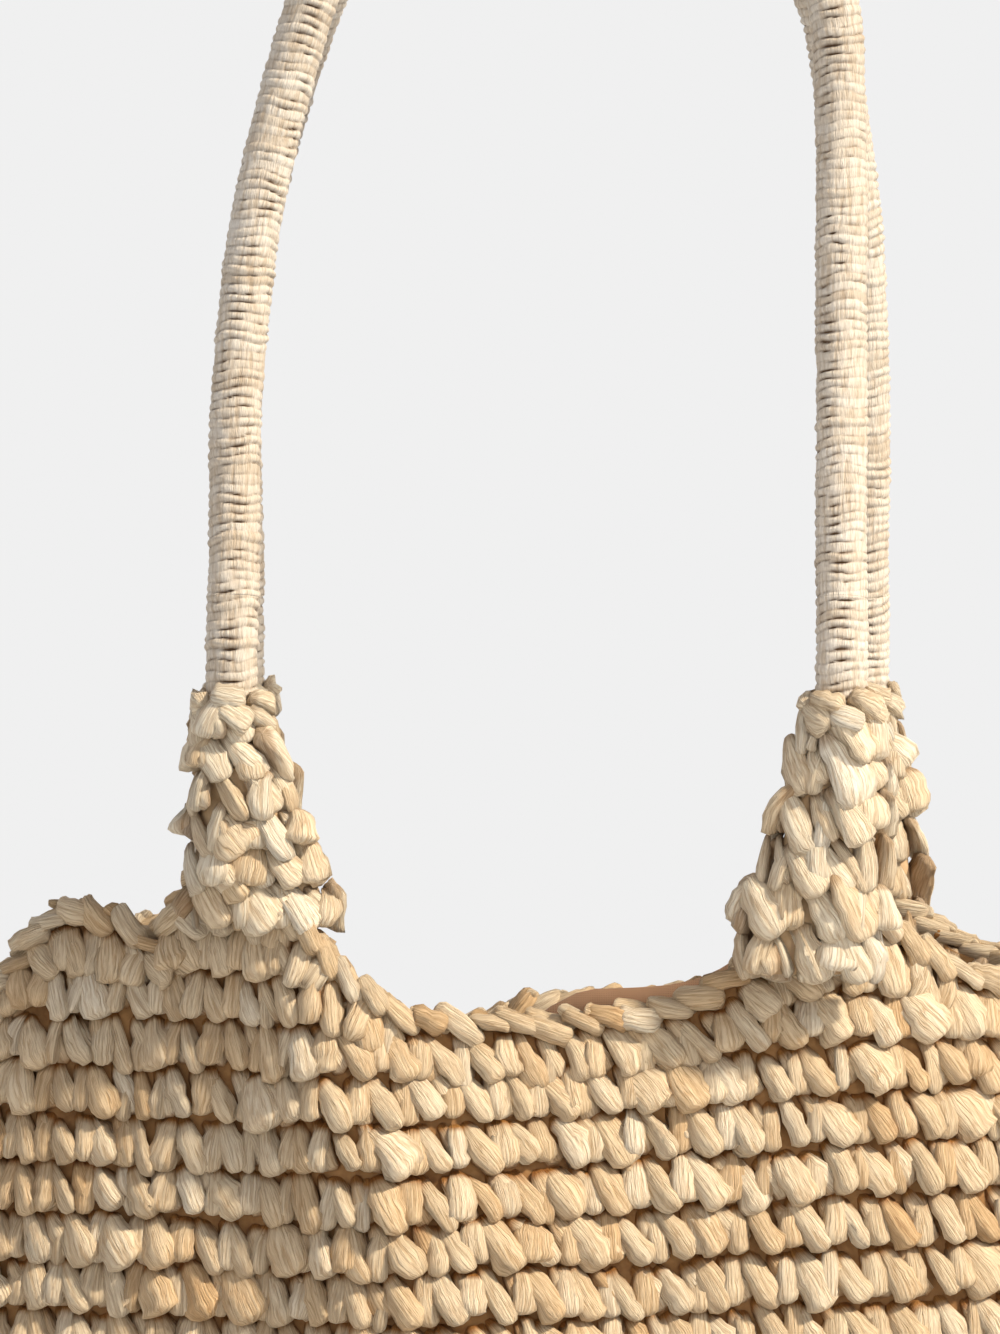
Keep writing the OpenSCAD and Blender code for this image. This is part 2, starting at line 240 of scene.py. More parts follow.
def add_piece(name, points, faces, material, node, attributes=None):
    """A piece that rides on the bag's body and takes the place of a CAD node."""
    piece = add_mesh(name, points, faces, material, attributes)
    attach(piece, "root")
    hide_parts(node)
    return piece


def grid_quads(rows, columns, wrap=True, flip=False):
    """Quads over a grid of points with this many rows and columns, closed round when wrap is set."""
    k, j = np.meshgrid(np.arange(rows - 1), np.arange(columns if wrap else columns - 1), indexing="ij")
    nxt = (j + 1) % columns
    low, high = k * columns, (k + 1) * columns
    quads = np.stack([low + j, low + nxt, high + nxt, high + j], -1).reshape(-1, 4)
    return quads[:, ::-1] if flip else quads


# ---------------------------------------------------------------- strands of straw
def per_strand(values):
    """One value for each strand, shaped to go with (strand, step along it, corner round it)."""
    return np.asarray(values, float).reshape(-1, 1, 1)


def strand_fullness(s, neck, fullest):
    """Thickness along a strand, from 0 to 1: a neck, a full lower half and rounded ends."""
    body = neck + (1 - neck) * smooth(s / fullest)
    body = body * np.sqrt(np.clip(1 - np.clip((s - 0.84) / 0.16, 0, 1) ** 2, 0, 1))
    body = body * np.sqrt(np.clip(1 - np.clip(1 - s / 0.12, 0, 1) ** 2, 0, 1))
    return np.where((s <= 0) | (s >= 1), 0.02, body)


def legs(frames, top, bottom, radius, lift, squash=0.62, neck=0.5, steps=11, sides=10):
    """Crinkled strands, one for each frame, each closed, with a narrow top and a full, blunt bottom.

    top and bottom are (right, up) from the frame. radius is the widest. lift is how far out the
    strand's centre lies at its top, middle and bottom. Most corners are on the side that shows.
    Returns points, quads and two sets of values for the material, look and around."""
    here, right, up, out = (v[:, None, None, :] for v in frames)
    n = len(here)
    s = (0.5 - 0.5 * np.cos(np.linspace(0, np.pi, steps)))[None, :, None]
    outer_sides = math.ceil(0.7 * sides)
    outer = np.linspace(-0.1, 1.1, outer_sides)
    inner = np.linspace(1.1, 1.9, sides - outer_sides + 2)[1:-1]
    phi = np.concatenate([outer * np.pi, inner * np.pi])[None, None, :]
    body = strand_fullness(s, neck, per_strand(rng.uniform(0.5, 0.68, n)))
    top, bottom = np.broadcast_to(top, (n, 2)), np.broadcast_to(bottom, (n, 2))
    lift = np.broadcast_to(lift, (n, 3))
    radius = per_strand(np.broadcast_to(radius, n))

    bow = per_strand(rng.normal(0, 0.5, n)) * MM
    along_x = per_strand(top[:, 0]) * (1 - s) + per_strand(bottom[:, 0]) * s + bow * np.sin(np.pi * s)
    along_y = per_strand(top[:, 1]) * (1 - s) + per_strand(bottom[:, 1]) * s
    along_z = (per_strand(lift[:, 0]) * (1 - s) * (1 - 2 * s) + per_strand(lift[:, 1]) * 4 * s * (1 - s)
               + per_strand(lift[:, 2]) * s * (2 * s - 1))

    pleats = (1 - s) * rng.normal(0, PLEAT, (n, 1, sides)) + s * rng.normal(0, PLEAT, (n, 1, sides))
    knots = rng.normal(0, 0.07, (n, steps, 1)) + rng.normal(0, 0.05, (n, steps, sides))
    size = radius * body * np.clip(1 + pleats + knots, 0.5, 1.5)
    turn = np.arctan2(per_strand(bottom[:, 0] - top[:, 0]), per_strand(top[:, 1] - bottom[:, 1]))
    across = size * np.cos(phi)
    local_x = along_x + across * np.cos(turn)
    local_y = along_y + across * np.sin(turn)
    local_z = along_z + squash * size * np.sin(phi)
    points = here + local_x[..., None] * right + local_y[..., None] * up + local_z[..., None] * out
    first = (np.arange(n) * steps * sides)[:, None, None]
    quads = (grid_quads(steps, sides)[None] + first).reshape(-1, 4)

    tone = per_strand(np.clip(rng.normal(0.5, 0.22, n), 0, 1))
    length = np.linalg.norm(bottom - top, axis=1)
    # Painted shade: 0 deep in the stitch and where the strand tucks under the row above, 1 out on top; the
    # material darkens the low end.
    shade_depth = np.clip(local_z / (4.5 * MM), -0.5, 1.2) - 0.45 * np.clip(1 - s / 0.22, 0, 1)
    fibre = s * per_strand(length) / (10 * MM) + 7 * per_strand(rng.random(n))
    look = np.stack(np.broadcast_arrays(tone, shade_depth, fibre), -1)
    around = np.stack(np.broadcast_arrays(np.cos(phi), np.sin(phi), per_strand(rng.random(n)) + 0 * s), -1)
    return points.reshape(-1, 3), quads, look.reshape(-1, 3), around.reshape(-1, 3)


def add_straw(name, parts, material, node, depth=None):
    """One piece of many strands. depth (least, share) lightens the painted shade on the strands' deep feet.
    """
    first = 0
    moved = []
    for points, quads, _, _ in parts:
        moved.append(quads + first)
        first += len(points)
    points, look, around = (np.concatenate([part[i] for part in parts]) for i in (0, 2, 3))
    points[:, 2] = np.maximum(points[:, 2], 0.0)
    if depth is not None:
        least, share = depth
        look[:, 1] = least + share * np.clip(look[:, 1], 0, 1)
    add_piece(name, points, np.concatenate(moved), material, node, {"look": look, "around": around})


def stitch_round(surface, a, t, width, height, loose=1.0, small=1.0):
    """Strands of a round of V stitches: a full left leg, a steeper right leg and a wisp behind."""
    n = len(a)
    frames = surface_frames(surface, a, t)
    jitter = loose * rng.normal(0, 1, (n, 10))
    w, h = width * (1 + 0.06 * jitter[:, 0]), height * (1 + 0.05 * jitter[:, 1])
    shift = np.stack([0.06 * width * jitter[:, 2], 0.04 * height * jitter[:, 3]], 1)

    def at(x, y, k):
        spread = 0.05 * np.stack([w, h], 1) * jitter[:, k:k + 2]
        return np.stack([x * w, y * h], 1) + shift + spread

    rise = (1 + 0.12 * jitter[:, 8]) * small
    lifts = np.stack([-0.6 * MM * rise, 2.3 * MM * rise, 3.2 * MM * rise], 1)
    left_r = 0.325 * w * (1 + 0.16 * jitter[:, 9])
    steep_r = 0.26 * w * (1 + 0.16 * jitter[:, 8])
    behind_lifts = np.array([0.0, 1.1, 0.4]) * MM * small
    left = legs(frames, at(-0.52, 0.58, 4), at(0.13, -0.55, 6), left_r, lifts, neck=0.6)
    steep = legs(frames, at(0.36, 0.58, 5), at(0.36, -0.50, 7), steep_r,
                 lifts - [0, 0.2 * MM, 0.5 * MM], neck=0.7)
    behind = legs(frames, at(0.05, 0.58, 6), at(0.62, -0.42, 4), 0.27 * w, behind_lifts, steps=7, sides=7)
    return [left, steep, behind]


# ---------------------------------------------------------------- materials
def new_material(name):
    material = bpy.data.materials.new(name)
    material.use_nodes = True
    nodes, links = material.node_tree.nodes, material.node_tree.links
    return material, nodes, links, nodes["Principled BSDF"]


def link_ramp(nodes, links, value, stops):
    """The output of a colour ramp through these (place, colour) stops."""
    ramp = nodes.new("ShaderNodeValToRGB")
    elements = ramp.color_ramp.elements
    while len(elements) < len(stops):
        elements.new(0.5)
    for element, (place, colour) in zip(elements, stops):
        element.position = place
        element.color = (*colour, 1)
    links.new(value, ramp.inputs["Fac"])
    return ramp.outputs["Color"]


def noise(nodes, links, vector, scale, detail=3.0, rough=0.55):
    node = nodes.new("ShaderNodeTexNoise")
    node.inputs["Scale"].default_value = scale
    node.inputs["Detail"].default_value = detail
    node.inputs["Roughness"].default_value = rough
    links.new(vector, node.inputs["Vector"])
    return node.outputs["Fac"]


def math_node(nodes, links, operation, first, second):
    """The output of a maths node. first and second are numbers or other nodes' outputs."""
    node = nodes.new("ShaderNodeMath")
    node.operation = operation
    for socket, value in zip(node.inputs, (first, second)):
        if isinstance(value, (int, float)):
            socket.default_value = value
        else:
            links.new(value, socket)
    return node.outputs["Value"]


def mixed(nodes, links, factor, first, second, blend="MIX"):
    """The output of two mixed colours. Each value is a number, a colour or another node's output."""
    node = nodes.new("ShaderNodeMix")
    node.data_type = "RGBA"
    node.blend_type = blend
    # In colour mode a Mix node's factor is input 0, its colours are inputs 6 and 7, and output 2 is theirs.
    for index, value in zip((0, 6, 7), (factor, first, second)):
        socket = node.inputs[index]
        if isinstance(value, (int, float)):
            socket.default_value = value
        elif isinstance(value, tuple):
            socket.default_value = (*value, 1)
        else:
            links.new(value, socket)
    return node.outputs[2]


def bump(nodes, links, height, strength, distance):
    node = nodes.new("ShaderNodeBump")
    node.inputs["Strength"].default_value = strength
    node.inputs["Distance"].default_value = distance
    links.new(height, node.inputs["Height"])
    return node.outputs["Normal"]


CREASE_SHADE = (0.50, 0.32, 0.15)     # painted shade in a strand's creases: what their colour is multiplied by


def straw_material(name, stops, painted_gap_shade, shade_fade_height, crease_share=0.4):
    """Crinkled paper straw. The look attribute holds tone, height in the stitch and place along it; low
    heights darken the colour as painted shade, and thin creases are painted shade as well.
    """
    material, nodes, links, shader = new_material(name)
    look = nodes.new("ShaderNodeAttribute")
    look.attribute_name = "look"
    around = nodes.new("ShaderNodeAttribute")
    around.attribute_name = "around"
    parts = nodes.new("ShaderNodeSeparateXYZ")
    links.new(look.outputs["Vector"], parts.inputs["Vector"])
    turned = nodes.new("ShaderNodeSeparateXYZ")
    links.new(around.outputs["Vector"], turned.inputs["Vector"])
    fibre_at = nodes.new("ShaderNodeCombineXYZ")
    links.new(math_node(nodes, links, "MULTIPLY", turned.outputs["X"], 3.2), fibre_at.inputs["X"])
    links.new(math_node(nodes, links, "MULTIPLY", turned.outputs["Y"], 3.2), fibre_at.inputs["Y"])
    links.new(math_node(nodes, links, "MULTIPLY", parts.outputs["Z"], 0.55), fibre_at.inputs["Z"])
    fibres = noise(nodes, links, fibre_at.outputs["Vector"], 2.4, 4.0, 0.6)
    fine = noise(nodes, links, fibre_at.outputs["Vector"], 9.0, 3.0, 0.6)
    place = nodes.new("ShaderNodeTexCoord")
    patches = noise(nodes, links, place.outputs["Object"], 26.0, 2.0, 0.5)
    tone = math_node(nodes, links, "ADD", math_node(nodes, links, "MULTIPLY", parts.outputs["X"], 0.62),
                     math_node(nodes, links, "MULTIPLY", patches, 0.38))
    colour = link_ramp(nodes, links, tone, stops)
    streaks = link_ramp(nodes, links, fibres, [(0.36, (0.66, 0.55, 0.42)), (0.56, (1.0, 1.0, 1.0))])
    colour = mixed(nodes, links, 0.6, colour, streaks, "MULTIPLY")
    # Thin dark lines along the folds: painted shade in the creases, which also feed the bump.
    folds = noise(nodes, links, fibre_at.outputs["Vector"], 1.15, 2.0, 0.5)
    creases = link_ramp(nodes, links, folds, [
        (0.425, (1.0, 1.0, 1.0)), (0.475, CREASE_SHADE), (0.49, CREASE_SHADE), (0.54, (1.0, 1.0, 1.0))])
    colour = mixed(nodes, links, crease_share, colour, creases, "MULTIPLY")
    # Painted shade: strands darken towards the shade colour where they lie deep or tuck under the row
    # above.
    depth = link_ramp(nodes, links, parts.outputs["Y"], [(0.0, painted_gap_shade), (shade_fade_height, (1.0, 1.0, 1.0))])
    colour = mixed(nodes, links, 1.0, colour, depth, "MULTIPLY")
    links.new(colour, shader.inputs["Base Color"])
    heights = math_node(nodes, links, "ADD", fibres, math_node(nodes, links, "MULTIPLY", fine, 0.45))
    creased = math_node(nodes, links, "MULTIPLY", creases, crease_share)
    heights = math_node(nodes, links, "ADD", heights, creased)
    links.new(bump(nodes, links, heights, 0.8, 0.0012), shader.inputs["Normal"])
    rough = nodes.new("ShaderNodeMapRange")
    rough.inputs["To Min"].default_value = 0.52
    rough.inputs["To Max"].default_value = 0.8
    links.new(fibres, rough.inputs["Value"])
    links.new(rough.outputs["Result"], shader.inputs["Roughness"])
    shader.inputs["Specular IOR Level"].default_value = 0.35
    return material


def woven_material(name, dark, light, threads, depth):
    """Plain woven cotton: two crossed sets of threads, with slubs."""
    material, nodes, links, shader = new_material(name)
    place = nodes.new("ShaderNodeTexCoord")
    waves = []
    for axis in ("X", "Z"):
        wave = nodes.new("ShaderNodeTexWave")
        wave.bands_direction = axis
        wave.inputs["Scale"].default_value = threads
        wave.inputs["Distortion"].default_value = 1.5
        wave.inputs["Detail"].default_value = 2.0
        links.new(place.outputs["Object"], wave.inputs["Vector"])
        waves.append(wave.outputs["Fac"])
    weave = math_node(nodes, links, "MAXIMUM", waves[0], waves[1])
    slubs = noise(nodes, links, place.outputs["Object"], 60.0, 4.0, 0.6)
    tone = math_node(nodes, links, "ADD", math_node(nodes, links, "MULTIPLY", weave, 0.35),
                     math_node(nodes, links, "MULTIPLY", slubs, 0.65))
    links.new(link_ramp(nodes, links, tone, [(0.25, dark), (0.75, light)]), shader.inputs["Base Color"])
    links.new(bump(nodes, links, tone, 0.5, depth), shader.inputs["Normal"])
    shader.inputs["Roughness"].default_value = 0.9
    shader.inputs["Sheen Weight"].default_value = 0.2
    return material


def grained_material(name, stops, scale, roughness, metallic=0.0, strength=0.2):
    material, nodes, links, shader = new_material(name)
    place = nodes.new("ShaderNodeTexCoord")
    grain = noise(nodes, links, place.outputs["Object"], scale, 5.0, 0.6)
    links.new(link_ramp(nodes, links, grain, stops), shader.inputs["Base Color"])
    links.new(bump(nodes, links, grain, strength, 0.0004), shader.inputs["Normal"])
    shader.inputs["Roughness"].default_value = roughness
    shader.inputs["Metallic"].default_value = metallic
    return material


# Each straw's third value is the colour of its painted shade deep in the stitches, and the fourth the
# height where that shade fades out.
STRAW = straw_material(
    "straw",
    [(0.15, (0.74, 0.50, 0.26)), (0.34, (0.82, 0.62, 0.38)),
     (0.55, (0.89, 0.73, 0.50)), (0.8, (0.94, 0.82, 0.62))],
    (0.50, 0.27, 0.09), 0.5)
# Painted light: the body's straw made paler for the horns and their closing rounds, so that they look more
# brightly lit.
LIT_HORN_STRAW = straw_material(
    "straw_horns_painted_light",
    [(0.15, (0.82, 0.63, 0.39)), (0.34, (0.90, 0.75, 0.53)),
     (0.55, (0.94, 0.83, 0.63)), (0.8, (0.96, 0.88, 0.72))],
    (0.42, 0.25, 0.11), 0.5)
# The cord's dark third colour is painted shade in the winding's grooves and slits.
CORD = straw_material(
    "handle_cord",
    [(0.15, (0.66, 0.56, 0.43)), (0.5, (0.77, 0.69, 0.57)), (0.85, (0.83, 0.77, 0.67))],
    (0.20, 0.13, 0.08), 0.85, crease_share=0.0)
# Painted shade: a dark brown for the crochet's inside, seen in the gaps between stitches.
SHADE_BACKING = grained_material(
    "straw_backing_painted_shade", [(0.3, (0.20, 0.09, 0.025)), (0.7, (0.38, 0.20, 0.07))], 220.0, 0.85, strength=0.6)
# Painted shade: a mid brown for the horns' inside, seen between their loose stitches.
SHADE_HORN_CORE = grained_material(
    "horn_core_painted_shade", [(0.3, (0.46, 0.30, 0.15)), (0.7, (0.64, 0.46, 0.27))], 220.0, 0.85, strength=0.6)
COTTON = woven_material("lining_cotton", (0.22, 0.12, 0.065), (0.36, 0.21, 0.12), 520.0, 0.0003)
ROPE = grained_material(
    "jute_rope", [(0.3, (0.36, 0.25, 0.13)), (0.7, (0.58, 0.44, 0.26))], 400.0, 0.9, strength=0.5)
BOARD = grained_material("base_board", [(0.3, (0.06, 0.055, 0.05)), (0.7, (0.1, 0.09, 0.08))], 90.0, 0.6)
NICKEL = grained_material(
    "nickel", [(0.3, (0.62, 0.6, 0.56)), (0.7, (0.74, 0.72, 0.67))], 120.0, 0.28, 1.0, 0.05)


# ---------------------------------------------------------------- camera
VIEW_HEIGHT = 327 * MM       # height that the picture takes in, at the front of the bag
CAMERA_DISTANCE = 1.30
CAMERA_TURN = math.radians(3)
CAMERA_TILT = math.radians(1.5)
AIM = Vector((-8.6 * MM, -ROOT_Y - 5 * MM, 331 * MM))


def direction(turn, height):
    """Towards a place this far round to the right of the front, and this high above the horizon."""
    return Vector((math.sin(turn) * math.cos(height), -math.cos(turn) * math.cos(height), math.sin(height)))


def make_camera():
    data = bpy.data.cameras.new("camera")
    data.sensor_width = 36
    data.lens = 36 * CAMERA_DISTANCE / VIEW_HEIGHT
    camera = bpy.data.objects.new("camera", data)
    bpy.context.collection.objects.link(camera)
    back = direction(CAMERA_TURN, CAMERA_TILT)
    camera.location = AIM + back * CAMERA_DISTANCE
    camera.rotation_mode = "QUATERNION"
    camera.rotation_quaternion = (-back).to_track_quat("-Z", "Y")
    data.clip_start, data.clip_end = 0.05, 100
    bpy.context.scene.camera = camera


# ---------------------------------------------------------------- body
ROUNDS = 24            # the last few run only where the mouth's edge rises
ROUNDS_IN_BAND = 4
ROW_CLIMB = 8 * MM     # how far the upper rounds climb towards the front's right horn


def wall_at(a, z, inset):
    """The wall's points at these angles and heights, found by halving the range of levels."""
    low, high = np.zeros_like(a), np.full_like(a, 1.15)
    for _ in range(18):
        middle = (low + high) / 2
        below = wall(a, middle)[..., 2] < z
        low, high = np.where(below, middle, low), np.where(below, high, middle)
    return wall(a, low, inset)


def round_height(a, k):
    """Height of the middle of round k at these angles."""
    climb = plateau(np.mod(a, 360), 258, 372, 46) * smooth((k - 6) / 12)
    return WALL_FOOT + (k + 0.5) * ROW + ROW_CLIMB * climb


def squeezed_height(a, k):
    """Round k's height, with the rounds that run out under the mouth's edge squeezed together."""
    z = round_height(a, k)
    free = wall(a, 1.0)[..., 2] - 0.9 * ROW
    return z - 0.5 * np.clip(z - free, 0, None)


def body_round(a, k):
    """Round k's line of stitch feet at these angles."""
    return wall_at(a, squeezed_height(a, k), STRAW_IN)


def body_stitches():
    """The wall's rounds of stitches, a piece for each band of rounds."""
    for first in range(0, ROUNDS, ROUNDS_IN_BAND):
        parts = []
        for k in range(first, first + ROUNDS_IN_BAND):
            a, width = even_angles(body_round, k, STITCH, start=rng.uniform(0, 5))
            a = a[round_height(a, k) < wall(a, 1.0)[:, 2] + 0.1 * ROW]
            if len(a) > 0:
                parts += stitch_round(body_round, a, np.full_like(a, k), width, ROW)
        add_straw(f"body_rounds_{first // ROUNDS_IN_BAND + 1}", parts, STRAW, "body_wall")


def backing():
    """The inside of the crochet, a closed thin shell seen through the gaps between stitches, coloured dark
    brown as painted shade.
    """
    columns, rows = 240, 40
    a = np.linspace(0, 360, columns, endpoint=False)[None, :]
    t = np.linspace(0, 1, rows)[:, None]
    outer = wall(a, t, STRAW_IN - 0.2 * MM)
    inner = wall(a, t[::-1], 6.0 * MM)
    points = np.concatenate([outer, inner, outer[:1]])
    add_piece("crochet_backing", points, grid_quads(len(points), columns), SHADE_BACKING, "body_wall")


def lining_peep(a):
    """Where the lining has ridden up over the back's edge, from 0 to 1."""
    return plateau(np.mod(a, 360), 58, 97, 10)


def inside_wall(a, t):
    """The wall's inner face, taken the other way round, so that out points into the bag."""
    return wall(-a, t, 5.6 * MM)


def inner_round():
    """The wall's last round as it shows inside the mouth, above the lining."""
    t = 1 - 6.5 * MM / MOUTH_H
    a, width = even_angles(inside_wall, t, STITCH)
    a = a[lining_peep(-a) == 0]
    parts = stitch_round(inside_wall, a, np.full_like(a, t), width, 1.1 * ROW, small=0.6)
    add_straw("mouth_inner_round", parts, STRAW, "body_wall", depth=(0.3, 0.7))


# ---------------------------------------------------------------- horns
HORN_FOOT_RX = 19 * MM
HORN_MID_RX = 16.5 * MM
HORN_TOP_R = 8 * MM
HORN_SINK = 11.5 * MM        # how far the horn's foot lies under the mouth's edge
HORN_LEAN_IN = {"front": 9 * MM, "back": 2 * MM}
HORN_ROUNDS = 6
HORN_STITCH = 10 * MM
# The closing round's two rings: how far under the horn's top, radius, and number of strands.
CLOSING_RINGS = ((2.6 * MM, WRAP_R + 0.2 * MM, 5), (6.4 * MM, WRAP_R + 0.8 * MM, 6))


def horn_surface(side, hand):
    """A horn's surface as a function of angle and height (0 at its foot, 1 at its top), and its ends."""
    angle = HORN_ANGLES[(side, hand)]
    foot = float(wall(angle, 1.0)[2]) - HORN_SINK
    top = HORN_TOP - 3 * MM
    x, y = HAND[hand] * ROOT_X[side], SIDE[side] * ROOT_Y

    def surface(a, f, inset=3.4 * MM):
        a, f = np.broadcast_arrays(np.asarray(a, float), np.asarray(f, float))
        rad = np.radians(a)
        taper = np.sin(np.pi / 2 * np.clip(1 - f, 0, 1))
        rx = HORN_TOP_R + (HORN_MID_RX - HORN_TOP_R) * taper + (HORN_FOOT_RX - HORN_MID_RX) * (1 - f) ** 4
        ry = HORN_TOP_R + 1.6 * MM * np.sin(np.pi * np.clip(f, 0, 1))
        cx = x - HAND[hand] * HORN_LEAN_IN[side] * np.clip(1 - f, 0, 1) ** 1.5
        return np.stack([cx + (rx - inset) * np.cos(rad), y + (ry - inset) * np.sin(rad),
                         foot + f * (top - foot)], -1)

    return surface, foot, top


def horn(side, hand):
    """A horn's rounds of loose stitches, and the core that shows between them, coloured brown as painted
    shade.
    """
    surface, foot, top = horn_surface(side, hand)
    height = (top - foot) / HORN_ROUNDS
    parts = []
    for k in range(HORN_ROUNDS):
        f = (k + 0.5) / HORN_ROUNDS
        a, width = even_angles(surface, f, HORN_STITCH, start=rng.uniform(0, 60))
        parts += stitch_round(surface, a, np.full_like(a, f), width * 1.2, height * 1.15,
                              loose=1.6, small=0.9)
    name = f"horn_{side}_{hand}"
    add_straw(name + "_crochet", parts, LIT_HORN_STRAW, name, depth=(0.22, 0.8))
    columns, rows = 40, 14
    a = np.linspace(0, 360, columns, endpoint=False)[None, :]
    f = np.linspace(0, 0.985, rows)[:, None]
    skin = surface(a, f, 3.2 * MM)
    add_piece(name + "_core", skin, grid_quads(rows, columns), SHADE_HORN_CORE, name)


def binding(side, hand):
    """The closing round: puffy strands drawn tight round the handle where it leaves the horn."""
    x, y = HAND[hand] * ROOT_X[side], SIDE[side] * ROOT_Y
    parts = []
    for drop, radius, count in CLOSING_RINGS:
        def ring(a, t):
            rad = np.radians(a)
            z = HORN_TOP - drop + t * MM
            return np.stack([x + radius * np.cos(rad), y + radius * np.sin(rad), z], -1)

        a = np.linspace(0, 360, count, endpoint=False) + rng.uniform(0, 60)
        frames = surface_frames(ring, a, np.zeros_like(a))
        wobble = rng.normal(0, 1, (count, 6))
        width = 2 * np.pi * radius / count
        top = np.stack([-0.55 * width + 0.6 * MM * wobble[:, 0], 1.6 * MM + 0.5 * MM * wobble[:, 1]], 1)
        bottom = np.stack([0.5 * width + 0.6 * MM * wobble[:, 2], -2.0 * MM + 0.7 * MM * wobble[:, 3]], 1)
        strand_r = 2.9 * MM * (1 + 0.12 * wobble[:, 4])
        lifts = np.array([0.2, 1.5, 0.8]) * MM
        parts.append(legs(frames, top, bottom, strand_r, lifts, squash=0.75, neck=0.75))
    name = f"binding_{side}_{hand}"
    add_straw(name + "_straw", parts, LIT_HORN_STRAW, name, depth=(0.35, 0.65))


# ---------------------------------------------------------------- mouth's edging
def edge_line(a, t):
    """The middle of the edging, a little above the wall."""
    return wall(a, t, 2.8 * MM) + [0, 0, 1.6 * MM]


def edging():
    """Slip stitches along the mouth: a slanted strand on the outside and one on the inside."""
    a, width = even_angles(edge_line, 1.0, 7.5 * MM)
    n = len(a)
    right = unit(edge_line(a + 0.3, 1.0) - edge_line(a - 0.3, 1.0))
    out = unit(np.stack([right[:, 1], -right[:, 0], 0 * a], 1))
    frames = edge_line(a, 1.0), right, unit(np.cross(out, right)), out
    parts = []
    for face in (1, -1):
        wobble = rng.normal(0, 1, (n, 5))
        top = np.stack([-0.8 * width + 0.7 * MM * wobble[:, 0], 2.4 * MM + 0.7 * MM * wobble[:, 1]], 1)
        bottom = np.stack([0.75 * width + 0.7 * MM * wobble[:, 2], -2.4 * MM + 0.9 * MM * wobble[:, 3]], 1)
        strand_r = 2.35 * MM * (1 + 0.18 * wobble[:, 4])
        lifts = np.array([-0.6, 2.0, 0.8]) * MM * face
        parts.append(legs(frames, top, bottom, strand_r, lifts, squash=0.75, neck=0.8))
    add_straw("edging_slip_stitches", parts, STRAW, "rim_edging", depth=(0.9, 0.0))


# ---------------------------------------------------------------- base
panel_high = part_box("base_panel")[1]
BASE_ROUNDS = 4
BASE_STITCH_H = 9.5 * MM
# Each leg's place at its top and at its foot, and its thickness, in widths of a stitch.
BASE_LEGS = ((-0.45, 0.05, 0.27), (0.45, 0.2, 0.22))
BASE_BACKING_Z = (3.6 * MM, 6 * MM)


def base_oval(a, t):
    """A round of the base, from its middle (t = 0) to its edge (t = 1), where the stitches' feet lie."""
    rad = np.radians(a)
    x = panel_high.x * t * signed_pow(np.cos(rad), 2 / CORNER)
    y = -panel_high.y * t * signed_pow(np.sin(rad), 2 / CORNER)
    return np.stack([x, y, 4.2 * MM + 0 * rad], -1)


def base_stitches():
    """The flat base's oval rounds of stitches, seen from below."""
    parts = []
    for k in range(BASE_ROUNDS):
        t = (k + 0.55) / BASE_ROUNDS
        a, width = even_angles(base_oval, t, STITCH)
        n = len(a)
        right = unit(base_oval(a + 0.3, t) - base_oval(a - 0.3, t))
        out = np.tile([0.0, 0.0, -1.0], (n, 1))
        frames = base_oval(a, t), right, unit(np.cross(out, right)), out
        wobble = rng.normal(0, 1, (n, 4))
        half = BASE_STITCH_H * 0.55
        for top_x, foot_x, thick in BASE_LEGS:
            top = np.stack([top_x * width + 0.4 * MM * wobble[:, 0], half + 0 * a], 1)
            foot = np.stack([foot_x * width + 0.4 * MM * wobble[:, 1], -half + 0 * a], 1)
            parts.append(legs(frames, top, foot, thick * width, np.array([0.2, 1.4, 1.2]) * MM))
    add_straw("base_rounds", parts, STRAW, "base_panel")


def base_backing():
    """A thin disc that closes the gaps between the base's stitches, dark brown as painted shade."""
    columns = 96
    rim = base_oval(np.linspace(0, 360, columns, endpoint=False), 1.0) * [1, 1, 0]
    low, high = (rim + [0, 0, z] for z in BASE_BACKING_Z)
    centre_low, centre_high = (edge * [0.02, 0.02, 1] for edge in (low, high))
    points = np.stack([centre_low, low, high, centre_high, centre_low])
    add_piece("base_backing", points, grid_quads(5, columns), SHADE_BACKING, "base_panel")


# ---------------------------------------------------------------- lining
LINING_OUT = 7.5 * MM
LINING_IN = 8.7 * MM
LINING_FLOOR = 8.6 * MM
LINING_FOOT = 0.034           # level where the lining's wall starts
LINING_HEM = 12 * MM          # how far its top lies under the mouth's edge
PEEP_RISE = 17.5 * MM         # how much higher it stands where it shows over the back's edge


def lining_floor(skin, height):
    """Rings that close a skin's lowest ring to the middle, flat at this height."""
    shares = np.array([0.02, 0.3, 0.6, 0.85, 0.97])[:, None, None]
    rings = skin[:1] * shares
    rings[..., 2] = height
    return rings


def lining():
    """The cotton lining: an open cup that hangs from a line of stitches under the mouth's edge."""
    columns, rows = 240, 46
    a = np.linspace(0, 360, columns, endpoint=False)[None, :]
    top = 1 - (LINING_HEM - PEEP_RISE * lining_peep(a)) / MOUTH_H
    t = LINING_FOOT + np.linspace(0, 1, rows)[:, None] * (top - LINING_FOOT)
    folds = (np.sin(np.radians(a * 17 + 40 * np.sin(np.radians(a * 3)))) * 0.6
             + np.sin(np.radians(a * 29 + 90)) * 0.4)
    above_floor = smooth((t - 0.05) / 0.2)
    hang = above_floor * (0.35 + 0.65 * smooth((t - 0.5) / 0.4))
    give = 0.8 * MM * folds * hang + 0.6 * MM * np.sin(t * 30 + np.radians(a * 5)) * above_floor
    outer, inner = (wall(a, t, inset + 0.9 * MM + give) for inset in (LINING_OUT, LINING_IN))
    points = np.concatenate([lining_floor(outer, LINING_FLOOR), outer, inner[::-1],
                             lining_floor(inner, LINING_FLOOR + LINING_IN - LINING_OUT)[::-1]])
    piece = add_piece("cotton_lining", points, grid_quads(len(points), columns), COTTON, "lining")


